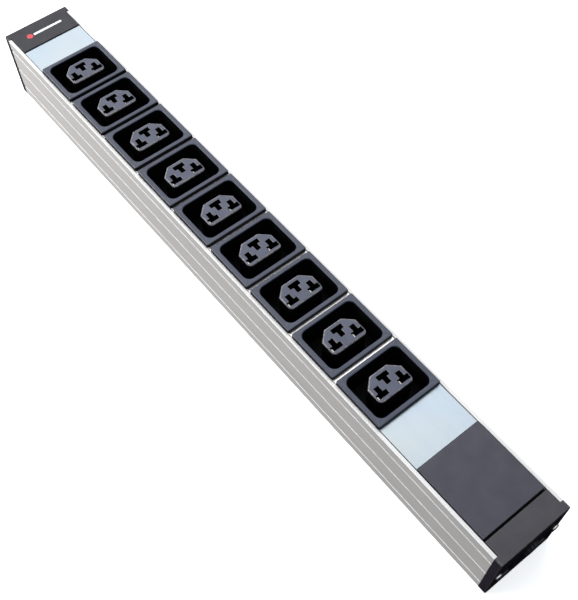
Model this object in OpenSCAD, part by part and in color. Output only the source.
/* [Housing] */
// Length over both end plates
strip_l = 436; // [436:1:480]
// Width across the side walls, one rack unit
strip_w = 44.4; // [44.2:0.1:44.8]
// Height of the side walls
strip_h = 44.4; // [44.2:0.1:46]
// Thickness of the side walls and of their top lips
wall_t = 2; // [1.9:0.1:2.1]
// Thickness of the floor
floor_t = 2; // [1.6:0.1:2]
// Radius of the two bottom edges
edge_r = 1.4; // [1:0.1:1.8]
// Grooves along each side wall
groove_n = 3; // [1:2:5]
// Spacing of the side grooves
groove_pitch = 14.7; // [6:0.1:15]
// Width of a side groove
groove_w = 1.2; // [0.6:0.1:1.6]
// Depth of a side groove
groove_d = 0.6; // [0.3:0.1:0.7]

/* [Front strip] */
// Thickness of the front strip
front_t = 2; // [1.8:0.1:2]
// How far the front strip lies below the lips
front_drop = 0.2; // [0.1:0.1:0.3]
// Gap between the front strip and each lip
front_gap = 0.4; // [0.3:0.1:0.5]

/* [Outlets] */
// Number of outlets
outlet_n = 9; // [1:1:9]
// Spacing of the outlets
outlet_pitch = 34.65; // [34.4:0.05:34.8]
// Distance from the badge end to the first bezel
outlet_start = 42.25; // [40:0.05:43]
// Bezel size along the strip
bezel_l = 32.4; // [32:0.1:33]
// Bezel size across the strip
bezel_w = 40; // [39:0.1:40]
// How far the bezels stand above the lips
bezel_rise = 2.4; // [1.6:0.1:3]
// Corner radius of a bezel
bezel_r = 0.8; // [0.6:0.1:1.5]
// Bevel around the top of a bezel
bezel_bevel = 0.6; // [0.4:0.1:1]
// Well opening along the strip
well_l = 27.2; // [26.6:0.1:27.4]
// Well opening across the strip
well_w = 34.4; // [34:0.1:34.6]
// Corner radius of the well
well_r = 4; // [3:0.5:5]
// Depth of the well
well_depth = 17; // [15:0.5:17]
// Wall thickness of an outlet frame
outlet_t = 1; // [0.8:0.1:1]
// Core size along the strip
core_l = 15; // [14.8:0.1:15.6]
// Core size across the strip
core_w = 22; // [21.8:0.1:23]
// Bevel around the top of the core
core_bevel = 0.6; // [0.3:0.1:0.8]
// Spacing of the line and neutral contacts
contact_span = 14; // [13.8:0.1:14.2]

/* [Connection cover] */
// Cover length along the strip
cover_l = 43.5; // [40:0.5:44]
// How far the cover stands above the lips
cover_rise = 0.8; // [0.4:0.1:1.2]
// Gap left at the cover for a tool
cover_tool_gap = 1.2; // [0.8:0.1:1.6]

/* [End caps] */
// Thickness of an end plate
plate_t = 4.8; // [4:0.1:5]
// How far the end caps stand above the lips
cap_rise = 0.4; // [0.2:0.1:0.6]
// Length of the badge cap's top, end plate included
badge_top_l = 20.5; // [18:0.5:21]
// Length of the cable cap's top, end plate included
cable_top_l = 13; // [12.8:0.1:14]
// Distance of the end screws from the middle
screw_y = 18.8; // [18.6:0.1:18.9]

/* [Cable entry] */
// How far the gland stands out of the end plate
gland_out = 2; // [1:0.1:3]
// Height of the cable entry
gland_z = 29.5; // [28:0.5:31]
// Radius of the gland's flange
gland_flange_r = 5; // [4.8:0.1:6]
// Radius of the cable bore
gland_bore_r = 3.6; // [3:0.1:3.8]

/* [Hidden] */
// Low heads stand on the end plates
head_t = 0.9;
head_play = 0.05;
head_out = head_t + head_play;
overall_l = head_out + strip_l + gland_out;
mid_z = strip_h / 2;
round_fn = 48;
fine_fn = 24;
through = 0.5; // overrun of a cutting tool past a face

// Front strip, its guide slots and the ledges it rests on
lip_y = strip_w / 2 - wall_t;
front_y = lip_y - front_gap;
front_z = strip_h - front_drop;
front_end = strip_l - cable_top_l - cover_tool_gap - cover_l - 0.3;
ledge_w = 1.8;
ledge_t = 1.6;
ledge_z = front_z - front_t - 0.1;
guide_w = 0.9;
guide_h = 1.2;
tongue_w = 1.2;
tongue_h = 0.8;
tongue_z = ledge_z + (guide_h - tongue_h) / 2;
cutout_r = 1.5;

// Outlet frame, core and contact carrier
top_z = strip_h + bezel_rise;
well_floor_z = top_z - well_depth;
well_floor_t = 1.6;
frame_l = well_l + 2 * outlet_t;
frame_w = well_w + 2 * outlet_t;
frame_r = 1.2;
frame_bottom_z = well_floor_z - well_floor_t;
frame_leg_w = 16;
frame_leg_h = 7;
lug_w = 9;
lug_h = 3;
lug_out = 0.7;
cutout_play = 0.2;
core_x = -0.3;
core_flank_w = 11;
core_nose = 5.2;
core_corner_r = 2.4;
core_play = 0.15;
carrier_l = well_l - 0.6;
carrier_w = 31;
carrier_z = 12.6;
carrier_gap = 0.1;
carrier_r = 1;
bar_l = 2.9;
bar_w = 7;
stem_w = 3;
slot_l = 6.6;
line_slot_x = 5.5;
earth_slot_x = -5.3;

// Contact rails
rail_t = 0.8;
rail_z = 5;
rail_h = 6;
rail_lead = 10;
rail_y = [-contact_span / 2, 0, contact_span / 2];
tail_z = 6.2;
tail_h = 3.6;
tail_in = 10;
leaf_t = 0.5;
leaf_w = 2.2;
fork_open = 1.9;
fork_pinch = 0.9;
fork_flare = 2.2;
fork_mouth = 1.8;
fork_top_z = top_z - 1.4;
back_leaf_sink = 5;
earth_sink = 6;

// Insulating tray
tray_t = 1.2;
tray_y = lip_y - 0.4;
tray_z = floor_t + 0.1;
tray_h = 13;
tray_lead = 2;
rail_play = 0.1;
rib_t = 3;
rib_z = 10;
tray_end = front_end + 31;

// Terminal block
block_d = front_end + 8;
block_l = 22;
block_w = 23;
block_h = 15;
block_z = tray_z + tray_t + 0.1;
pole_z = 8;
clamp_l = 18;
clamp_w = 5.2;
clamp_h = 6;
clamp_hole_w = 3.6;
clamp_hole_h = 4.2;
clamp_screw_r = 1.8;
clamp_screw_h = 5;
clamp_screw_pitch = 9;

// Earth bond
stud_d = block_d + block_l + 8;
stud_y = -13;
stud_r = 2;
stud_h = 11;
nut_flats = 7;
nut_t = 3.2;
lug_z = 6.1;
lug_t = 1;
lug_ring_r = 3.6;
lead_r = 1.3;
barrel_r = 1.9;
barrel_l = 4;
barrel_start = stud_y + 4.6;
lead_bend = 4;

// Connection cover and its clip legs
cover_t = 1.6;
cover_z = strip_h + cover_rise;
lid_z = ledge_z + 0.1; // underside of the cover and of the cap tops
leg_in = 3;
leg_l = 6;
leg_t = 1.6;
leg_y = 17.2;
leg_z = 33;
leg_h = 10.8;
catch_z = 35;
catch_h = 4.2;
catch_flat = 1.2;
catch_out = 1;

// End caps, their screws and the channels that take them
cap_z = strip_h + cap_rise;
collar_l = 8;
collar_t = 1.6;
collar_play = 0.3;
collar_top = 39.5;
shelf_y = front_y - 0.1;
shelf_t = 0.8;
boss_r = 2.8;
channel_r = 1.4;
channel_slit = 1;
screw_hole_r = 1.5;
head_r = 2.5;
shank_r = 1.3;
shank_l = 15;
cross_w = 0.7;
cross_l = 3.2;
cross_deep = 0.9;
relief_l = 15;
relief_w = 8;
relief_deep = 0.6;
relief_y = 12.4;
relief_z = 18;

// Gland
thread_r = 4.5;
thread_l = 6.5;
rib_n = 16;
gland_nut_flats = 12;
gland_nut_t = 3.5;

// Badge inlays
badge_deep = 0.3;
badge_proud = 0.05;
badge_d = 10.3;
badge_bar_y = 3;
badge_bar_l = 20;
badge_bar_w = 1.8;
badge_dot_y = -9.8;
badge_dot_r = 2.1;

// X position at a distance from the badge end's outer face
function at(d) = head_out + d - overall_l / 2;

// X position of the middle of outlet i, counted from 1
function outlet_x(i) = at(outlet_start + bezel_l / 2 + (i - 1) * outlet_pitch);

// Box between two corners
module span(low, high) {
    translate(low)
        cube(high - low);
}

// Rectangle with round corners, centred
module round_rect(l, w, r) {
    square([l - 2 * r, w], center = true);
    square([l, w - 2 * r], center = true);
    for (x = [-1, 1], y = [-1, 1])
        translate([x * (l / 2 - r), y * (w / 2 - r)])
            circle(r, $fn = round_fn);
}

// Section drawn in Y and Z, run along X from d0 to d1
module along_x(d0, d1) {
    translate([at(d0), 0, 0])
        rotate([90, 0, 90])
            linear_extrude(d1 - d0)
                children();
}

// Round bar along X
module bar_x(d0, d1, r, y, z) {
    translate([at(d0), y, z])
        rotate([0, 90, 0])
            cylinder(r = r, h = d1 - d0, $fn = round_fn);
}

module hex_nut(flats, t, bore_r) {
    difference() {
        cylinder(r = flats / sqrt(3), h = t, $fn = 6);
        translate([0, 0, -through])
            cylinder(r = bore_r, h = t + 2 * through, $fn = round_fn);
    }
}

module housing_outline() {
    translate([0, strip_h / 2])
        round_rect(strip_w, strip_h, edge_r);
    translate([-strip_w / 2, strip_h / 2])
        square([strip_w, strip_h / 2]);
}

module wall_features(side) {
    y_in = side > 0 ? lip_y - ledge_w : -lip_y - 0.1;
    translate([y_in, ledge_z - ledge_t])
        square([ledge_w + 0.1, ledge_t]);
    translate([side * screw_y, mid_z])
        circle(boss_r, $fn = round_fn);
}

module wall_cuts(side) {
    for (i = [0:groove_n - 1]) {
        z = mid_z + (i - (groove_n - 1) / 2) * groove_pitch;
        translate([side * strip_w / 2, z])
            square([2 * groove_d, groove_w], center = true);
    }
    translate([side * (lip_y + guide_w / 2 - 0.1), ledge_z + guide_h / 2])
        square([guide_w + 0.2, guide_h], center = true);
    translate([side * screw_y, mid_z])
        circle(channel_r, $fn = round_fn);
    translate([side * (screw_y - boss_r), mid_z])
        square([2 * boss_r, channel_slit], center = true);
}

module housing() {
    color([0.72, 0.71, 0.7])
        along_x(plate_t, strip_l - plate_t)
            difference() {
                union() {
                    difference() {
                        housing_outline();
                        translate([-lip_y, floor_t])
                            square([2 * lip_y, strip_h]);
                    }
                    wall_features(-1);
                    wall_features(1);
                }
                wall_cuts(-1);
                wall_cuts(1);
            }
}

module front_strip() {
    d0 = badge_top_l + 0.3;
    color([0.82, 0.87, 0.92])
        difference() {
            union() {
                span([at(d0), -front_y, front_z - front_t], [at(front_end), front_y, front_z]);
                span(
                    [at(d0), -front_y - tongue_w, tongue_z],
                    [at(front_end), front_y + tongue_w, tongue_z + tongue_h]
                );
            }
            for (i = [1:outlet_n])
                translate([outlet_x(i), 0, front_z - front_t - through])
                    linear_extrude(front_t + 2 * through)
                        round_rect(frame_l + 2 * cutout_play, frame_w + 2 * cutout_play, cutout_r);
        }
}

// Six-sided outline of a core: two flat flanks slope in towards the earth contact
module core_outline(grow) {
    half_l = core_l / 2 + grow;
    half_w = core_w / 2 + grow;
    r = core_corner_r + grow;
    polygon([
        [-half_l, -core_flank_w / 2],
        [-half_l + core_nose, -half_w],
        [half_l - r, -half_w],
        [half_l - r, half_w],
        [-half_l + core_nose, half_w],
        [-half_l, core_flank_w / 2]
    ]);
    translate([0, -half_w + r])
        square([half_l, 2 * (half_w - r)]);
    for (side = [-1, 1])
        translate([half_l - r, side * (half_w - r)])
            circle(r, $fn = round_fn);
}

// T-shaped contact slot: the bar crosses the far end, the stem points to x = 0
module contact_slot(x, dir) {
    bar_mid = x - dir * bar_l / 2;
    stem_mid = x - dir * slot_l / 2;
    translate([bar_mid, 0])
        square([bar_l, bar_w], center = true);
    translate([stem_mid, 0])
        square([slot_l, stem_w], center = true);
}

module frame_lug(side) {
    z_top = front_z - front_t - 0.3;
    translate([side * frame_l / 2, lug_w / 2, z_top])
        rotate([90, 0, 0])
            linear_extrude(lug_w)
                polygon([[-side * 0.2, 0], [side * lug_out, 0], [-side * 0.2, -lug_h]]);
}

// Bezel plate, its top edge bevelled in two steps
module bezel_plate() {
    step = bezel_bevel / 2;
    for (k = [0:2])
        translate([0, 0, front_z])
            linear_extrude(top_z - front_z - (2 - k) * step)
                round_rect(bezel_l - k * step, bezel_w - k * step, bezel_r);
}

module outlet_frame(i) {
    color([0.3, 0.32, 0.38])
        translate([outlet_x(i), 0, 0]) {
            difference() {
                union() {
                    bezel_plate();
                    translate([0, 0, frame_bottom_z])
                        linear_extrude(front_z - frame_bottom_z)
                            round_rect(frame_l, frame_w, frame_r);
                }
                translate([0, 0, well_floor_z])
                    linear_extrude(well_depth + through)
                        round_rect(well_l, well_w, well_r);
                translate([core_x, 0, frame_bottom_z - through])
                    linear_extrude(well_floor_t + 2 * through)
                        core_outline(core_play);
            }
            for (side = [-1, 1]) {
                frame_lug(side);
                translate([side * (frame_l - outlet_t) / 2, 0, frame_bottom_z - frame_leg_h / 2])
                    cube([outlet_t, frame_leg_w, frame_leg_h + 0.2], center = true);
            }
        }
}

// The three slots of an outlet, cut through everything above carrier_z
module contact_slots() {
    translate([0, 0, carrier_z - through])
        linear_extrude(strip_h) {
            contact_slot(earth_slot_x, -1);
            for (side = [-1, 1])
                translate([0, side * contact_span / 2])
                    contact_slot(line_slot_x, 1);
        }
}

// Island inside the well, its top edge bevelled in one step
module outlet_core(i) {
    color([0.36, 0.38, 0.45])
        translate([outlet_x(i) + core_x, 0, 0])
            difference() {
                for (k = [0, 1])
                    translate([0, 0, frame_bottom_z])
                        linear_extrude(top_z - frame_bottom_z - (1 - k) * core_bevel)
                            core_outline(-k * core_bevel / 2);
                contact_slots();
            }
}

// Block behind the frame that holds the core and guides the contacts
module contact_carrier(i) {
    color([0.25, 0.26, 0.3])
        translate([outlet_x(i), 0, 0])
            difference() {
                translate([0, 0, carrier_z])
                    linear_extrude(frame_bottom_z - carrier_gap - carrier_z)
                        round_rect(carrier_l, carrier_w, carrier_r);
                translate([core_x, 0, 0])
                    contact_slots();
            }
}

// One spring leaf in Y and Z: spread above the rail, pinched, then flared at its tip
module fork_leaf(side, tip_z) {
    path = [
        [rail_t / 2 - leaf_t, rail_z + rail_h - 1],
        [rail_t / 2 - leaf_t, rail_z + rail_h + 0.5],
        [fork_open, carrier_z + 5],
        [fork_open, tip_z - fork_mouth - 5],
        [fork_pinch, tip_z - fork_mouth],
        [fork_flare, tip_z]
    ];
    outer = [for (p = path) [side * (p[0] + leaf_t), p[1]]];
    inner = [for (k = [len(path) - 1:-1:0]) [side * path[k][0], path[k][1]]];
    polygon(concat(outer, inner));
}

// Rail with one fork for each outlet; slot_x is the far end of the slots it serves
module contact_rail(y, slot_x, tip_z) {
    dir = sign(slot_x);
    leaf_x = core_x + slot_x - dir * bar_l / 2;
    first = outlet_start + bezel_l / 2 - rail_lead;
    translate([0, y, 0]) {
        span([at(first), -rail_t / 2, rail_z], [at(front_end), rail_t / 2, rail_z + rail_h]);
        span([at(front_end - 1), -rail_t / 2, tail_z], [at(block_d + tail_in), rail_t / 2, tail_z + tail_h]);
        for (i = [1:outlet_n], side = [-1, 1])
            translate([outlet_x(i) + leaf_x - leaf_w / 2, 0, 0])
                rotate([90, 0, 90])
                    linear_extrude(leaf_w)
                        fork_leaf(side, side < 0 ? tip_z : tip_z - back_leaf_sink);
    }
}

module line_rail() {
    color([0.8, 0.62, 0.35])
        contact_rail(rail_y[2], line_slot_x, fork_top_z);
}

module neutral_rail() {
    color([0.8, 0.62, 0.35])
        contact_rail(rail_y[0], line_slot_x, fork_top_z);
}

module earth_rail() {
    color([0.8, 0.62, 0.35])
        contact_rail(rail_y[1], earth_slot_x, fork_top_z - earth_sink);
}

module insulating_tray() {
    d0 = outlet_start - tray_lead;
    color([0.85, 0.83, 0.76])
        difference() {
            union() {
                along_x(d0, tray_end)
                    difference() {
                        translate([-tray_y, tray_z])
                            square([2 * tray_y, tray_h]);
                        translate([-tray_y + tray_t, tray_z + tray_t])
                            square([2 * (tray_y - tray_t), tray_h]);
                    }
                for (i = [1:outlet_n + 1])
                    translate([
                        outlet_x(i) - (outlet_pitch + rib_t) / 2,
                        -tray_y + tray_t / 2,
                        tray_z + tray_t / 2
                    ])
                        cube([rib_t, 2 * tray_y - tray_t, rib_z - tray_z - tray_t / 2]);
            }
            for (y = rail_y)
                span([at(d0 + tray_t), y - rail_t / 2 - rail_play, rail_z],
                     [at(tray_end + 1), y + rail_t / 2 + rail_play, rib_z + 1]);
        }
}

module clamp_places() {
    for (y = rail_y, k = [-1, 1])
        translate([at(block_d + block_l / 2) + k * clamp_screw_pitch / 2, y, 0])
            children();
}

module terminal_block() {
    color([0.93, 0.92, 0.88])
        difference() {
            span(
                [at(block_d), -block_w / 2, block_z],
                [at(block_d + block_l), block_w / 2, block_z + block_h]
            );
            for (y = rail_y)
                translate([at(block_d + block_l / 2), y, pole_z])
                    cube([block_l + 2 * through, clamp_w + 0.2, clamp_h + 0.2], center = true);
            clamp_places()
                translate([0, 0, pole_z])
                    cylinder(r = clamp_screw_r + 0.3, h = block_h, $fn = round_fn);
        }
}

module terminal_clamps() {
    color([0.85, 0.68, 0.3])
        difference() {
            for (y = rail_y)
                translate([at(block_d + block_l / 2), y, pole_z])
                    difference() {
                        cube([clamp_l, clamp_w, clamp_h], center = true);
                        cube([clamp_l + 2 * through, clamp_hole_w, clamp_hole_h], center = true);
                    }
            clamp_places()
                translate([0, 0, pole_z])
                    cylinder(r = clamp_screw_r + 0.05, h = clamp_h, $fn = round_fn);
        }
}

module terminal_screws() {
    z0 = pole_z + clamp_hole_h / 2 + 0.1;
    color([0.8, 0.8, 0.78])
        clamp_places()
            difference() {
                translate([0, 0, z0])
                    cylinder(r = clamp_screw_r, h = clamp_screw_h, $fn = round_fn);
                translate([0, 0, z0 + clamp_screw_h])
                    cube([4 * clamp_screw_r, cross_w, 2 * cross_deep], center = true);
            }
}

module at_stud(z) {
    translate([at(stud_d), stud_y, z])
        children();
}

module earth_stud() {
    color([0.75, 0.75, 0.73]) {
        at_stud(floor_t)
            cylinder(r = stud_r + 0.7, h = 0.8, $fn = round_fn);
        at_stud(floor_t)
            cylinder(r = stud_r, h = stud_h, $fn = round_fn);
    }
}

module earth_spacer() {
    color([0.78, 0.78, 0.76])
        at_stud(lug_z - 0.05 - nut_t)
            hex_nut(nut_flats, nut_t, stud_r + 0.05);
}

module earth_lug() {
    barrel_y = barrel_start + barrel_l / 2;
    color([0.8, 0.8, 0.8])
        difference() {
            union() {
                at_stud(lug_z)
                    cylinder(r = lug_ring_r, h = lug_t, $fn = round_fn);
                at_stud(lug_z)
                    translate([-barrel_r, 0, 0])
                        cube([2 * barrel_r, barrel_start + 0.5 - stud_y, lug_t]);
                translate([at(stud_d), barrel_y, pole_z])
                    rotate([90, 0, 0])
                        cylinder(r = barrel_r, h = barrel_l, center = true, $fn = round_fn);
            }
            at_stud(lug_z - through)
                cylinder(r = stud_r + 0.15, h = 5, $fn = round_fn);
            translate([at(stud_d), barrel_y + 1, pole_z])
                rotate([90, 0, 0])
                    cylinder(r = lead_r + 0.05, h = barrel_l, center = true, $fn = round_fn);
        }
}

// Earth lead: out of the middle pole, one quarter bend, then into the lug
module earth_lead() {
    bend_d = stud_d - lead_bend;
    lug_end = barrel_start + 1.2;
    color([0.55, 0.75, 0.2]) {
        bar_x(block_d + block_l / 2 + 2, bend_d, lead_r, 0, pole_z);
        translate([at(bend_d), -lead_bend, pole_z])
            rotate_extrude(angle = 90, $fn = 2 * round_fn)
                translate([lead_bend, 0])
                    circle(lead_r, $fn = fine_fn);
        translate([at(stud_d), -lead_bend, pole_z])
            rotate([90, 0, 0])
                cylinder(r = lead_r, h = -lead_bend - lug_end, $fn = round_fn);
    }
}

module toothed_washer() {
    teeth = 10;
    color([0.7, 0.7, 0.68])
        at_stud(lug_z + lug_t + 0.05)
            difference() {
                cylinder(r = 3.8, h = 0.5, $fn = round_fn);
                translate([0, 0, -through])
                    cylinder(r = stud_r + 0.1, h = 2, $fn = round_fn);
                for (k = [0:teeth - 1])
                    rotate(k * 360 / teeth)
                        translate([3.8, 0, -through])
                            cylinder(r = 0.5, h = 2, $fn = fine_fn);
            }
}

module earth_nut() {
    color([0.78, 0.78, 0.76])
        at_stud(lug_z + lug_t + 0.6)
            hex_nut(nut_flats, nut_t, stud_r + 0.05);
}

// Leg of the cover with a catch on its outer face, in Y and Z
module leg_section() {
    translate([leg_y - leg_t / 2, leg_z])
        square([leg_t, leg_h]);
    polygon([
        [leg_y, catch_z],
        [leg_y + leg_t / 2, catch_z],
        [leg_y + catch_out, catch_z + catch_h - catch_flat],
        [leg_y + catch_out, catch_z + catch_h],
        [leg_y, catch_z + catch_h]
    ]);
}

module connection_cover() {
    d0 = front_end + 0.3;
    y1 = front_y - 0.05;
    color([0.28, 0.28, 0.32]) {
        difference() {
            span([at(d0), -y1, lid_z], [at(d0 + cover_l), y1, cover_z]);
            span([at(d0 + cover_t), -y1 + cover_t, lid_z - 1],
                 [at(d0 + cover_l - cover_t), y1 - cover_t, cover_z - cover_t]);
        }
        for (d = [d0 + leg_in, d0 + cover_l - leg_in - leg_l]) {
            along_x(d, d + leg_l)
                leg_section();
            along_x(d, d + leg_l)
                mirror([1, 0])
                    leg_section();
        }
    }
}

// End cap at d = 0 with its outer face towards -X
module cap_body(top_l) {
    difference() {
        union() {
            along_x(0, plate_t)
                translate([0, cap_z / 2])
                    round_rect(strip_w, cap_z, 1);
            span([at(plate_t - 0.1), -front_y, lid_z], [at(top_l), front_y, cap_z]);
            along_x(plate_t - 0.1, plate_t + collar_l)
                collar_section();
        }
        for (side = [-1, 1])
            bar_x(-1, plate_t + 1, screw_hole_r, side * screw_y, mid_z);
    }
}

// Three-sided collar inside the housing, open above and cleared around the screw channels
module collar_section() {
    y1 = lip_y - collar_play;
    z0 = floor_t + collar_play;
    difference() {
        translate([-y1, z0])
            square([2 * y1, collar_top - z0]);
        translate([-y1 + collar_t, z0 + collar_t])
            square([2 * (y1 - collar_t), collar_top]);
        for (side = [-1, 1])
            translate([side * screw_y, mid_z])
                square([2 * boss_r + 2, 2 * boss_r + 1.6], center = true);
    }
}

module badge_cap() {
    color([0.26, 0.26, 0.3])
        difference() {
            cap_body(badge_top_l);
            translate([at(badge_d), badge_bar_y, cap_z - badge_deep])
                linear_extrude(1)
                    round_rect(badge_bar_w + 0.1, badge_bar_l + 0.1, 0.4);
            translate([at(badge_d), badge_dot_y, cap_z - badge_deep])
                cylinder(r = badge_dot_r + 0.05, h = 1, $fn = round_fn);
        }
}

module badge_bar() {
    color([0.95, 0.95, 0.95])
        translate([at(badge_d), badge_bar_y, cap_z - badge_deep])
            linear_extrude(badge_deep + badge_proud)
                round_rect(badge_bar_w, badge_bar_l, 0.4);
}

module badge_dot() {
    color([0.8, 0.1, 0.2])
        translate([at(badge_d), badge_dot_y, cap_z - badge_deep])
            cylinder(r = badge_dot_r, h = badge_deep + badge_proud, $fn = round_fn);
}

// Low-head screw along +X with its head's face at d
module end_screw(d, y) {
    translate([at(d), y, mid_z])
        rotate([0, 90, 0])
            difference() {
                union() {
                    cylinder(r = head_r, h = head_t, $fn = round_fn);
                    cylinder(r = shank_r, h = shank_l, $fn = round_fn);
                }
                for (a = [0, 90])
                    rotate(a)
                        cube([cross_l, cross_w, head_t], center = true);
            }
}

module screw_pair() {
    for (side = [-1, 1])
        end_screw(-head_out, side * screw_y);
}

// Turns a part drawn at the badge end round to the cable end
module at_cable_end() {
    translate([head_out - gland_out, 0, 0])
        mirror([1, 0, 0])
            children();
}

module badge_cap_screws() {
    color([0.85, 0.85, 0.86])
        screw_pair();
}

module cable_cap_screws() {
    color([0.85, 0.85, 0.86])
        at_cable_end()
            screw_pair();
}

module cable_cap() {
    face_d = strip_l;
    color([0.28, 0.27, 0.31])
        difference() {
            at_cable_end() {
                cap_body(cable_top_l);
                span([at(cable_top_l - 0.1), -shelf_y, lid_z],
                     [at(cable_top_l + cover_tool_gap - 0.1), shelf_y, lid_z + shelf_t]);
            }
            bar_x(face_d - plate_t - 1, face_d + 1, thread_r + 0.15, 0, gland_z);
            for (side = [-1, 1])
                translate([at(face_d), side * relief_y, relief_z])
                    cube([2 * relief_deep, relief_w, relief_l], center = true);
        }
}

module cable_gland() {
    color([0.06, 0.06, 0.07])
        difference() {
            union() {
                bar_x(strip_l + 0.05, strip_l + gland_out, gland_flange_r, 0, gland_z);
                bar_x(strip_l - plate_t - thread_l, strip_l + 0.1, thread_r, 0, gland_z);
            }
            bar_x(strip_l - plate_t - thread_l - 1, strip_l + gland_out + 1, gland_bore_r, 0, gland_z);
            for (k = [0:rib_n - 1]) {
                a = k * 360 / rib_n;
                rib_y = gland_flange_r * cos(a);
                rib_dz = gland_flange_r * sin(a);
                bar_x(strip_l + 0.6, strip_l + gland_out + 1, 0.45, rib_y, gland_z + rib_dz);
            }
        }
}

module gland_nut() {
    color([0.1, 0.1, 0.11])
        translate([at(strip_l - plate_t - 0.05 - gland_nut_t), 0, gland_z])
            rotate([0, 90, 0])
                hex_nut(gland_nut_flats, gland_nut_t, thread_r + 0.05);
}

housing();
front_strip();
for (i = [1:outlet_n]) {
    outlet_frame(i);
    outlet_core(i);
    contact_carrier(i);
}
line_rail();
neutral_rail();
earth_rail();
insulating_tray();
terminal_block();
terminal_clamps();
terminal_screws();
earth_stud();
earth_spacer();
earth_lug();
earth_lead();
toothed_washer();
earth_nut();
connection_cover();
badge_cap();
badge_bar();
badge_dot();
badge_cap_screws();
cable_cap();
cable_cap_screws();
cable_gland();
gland_nut();
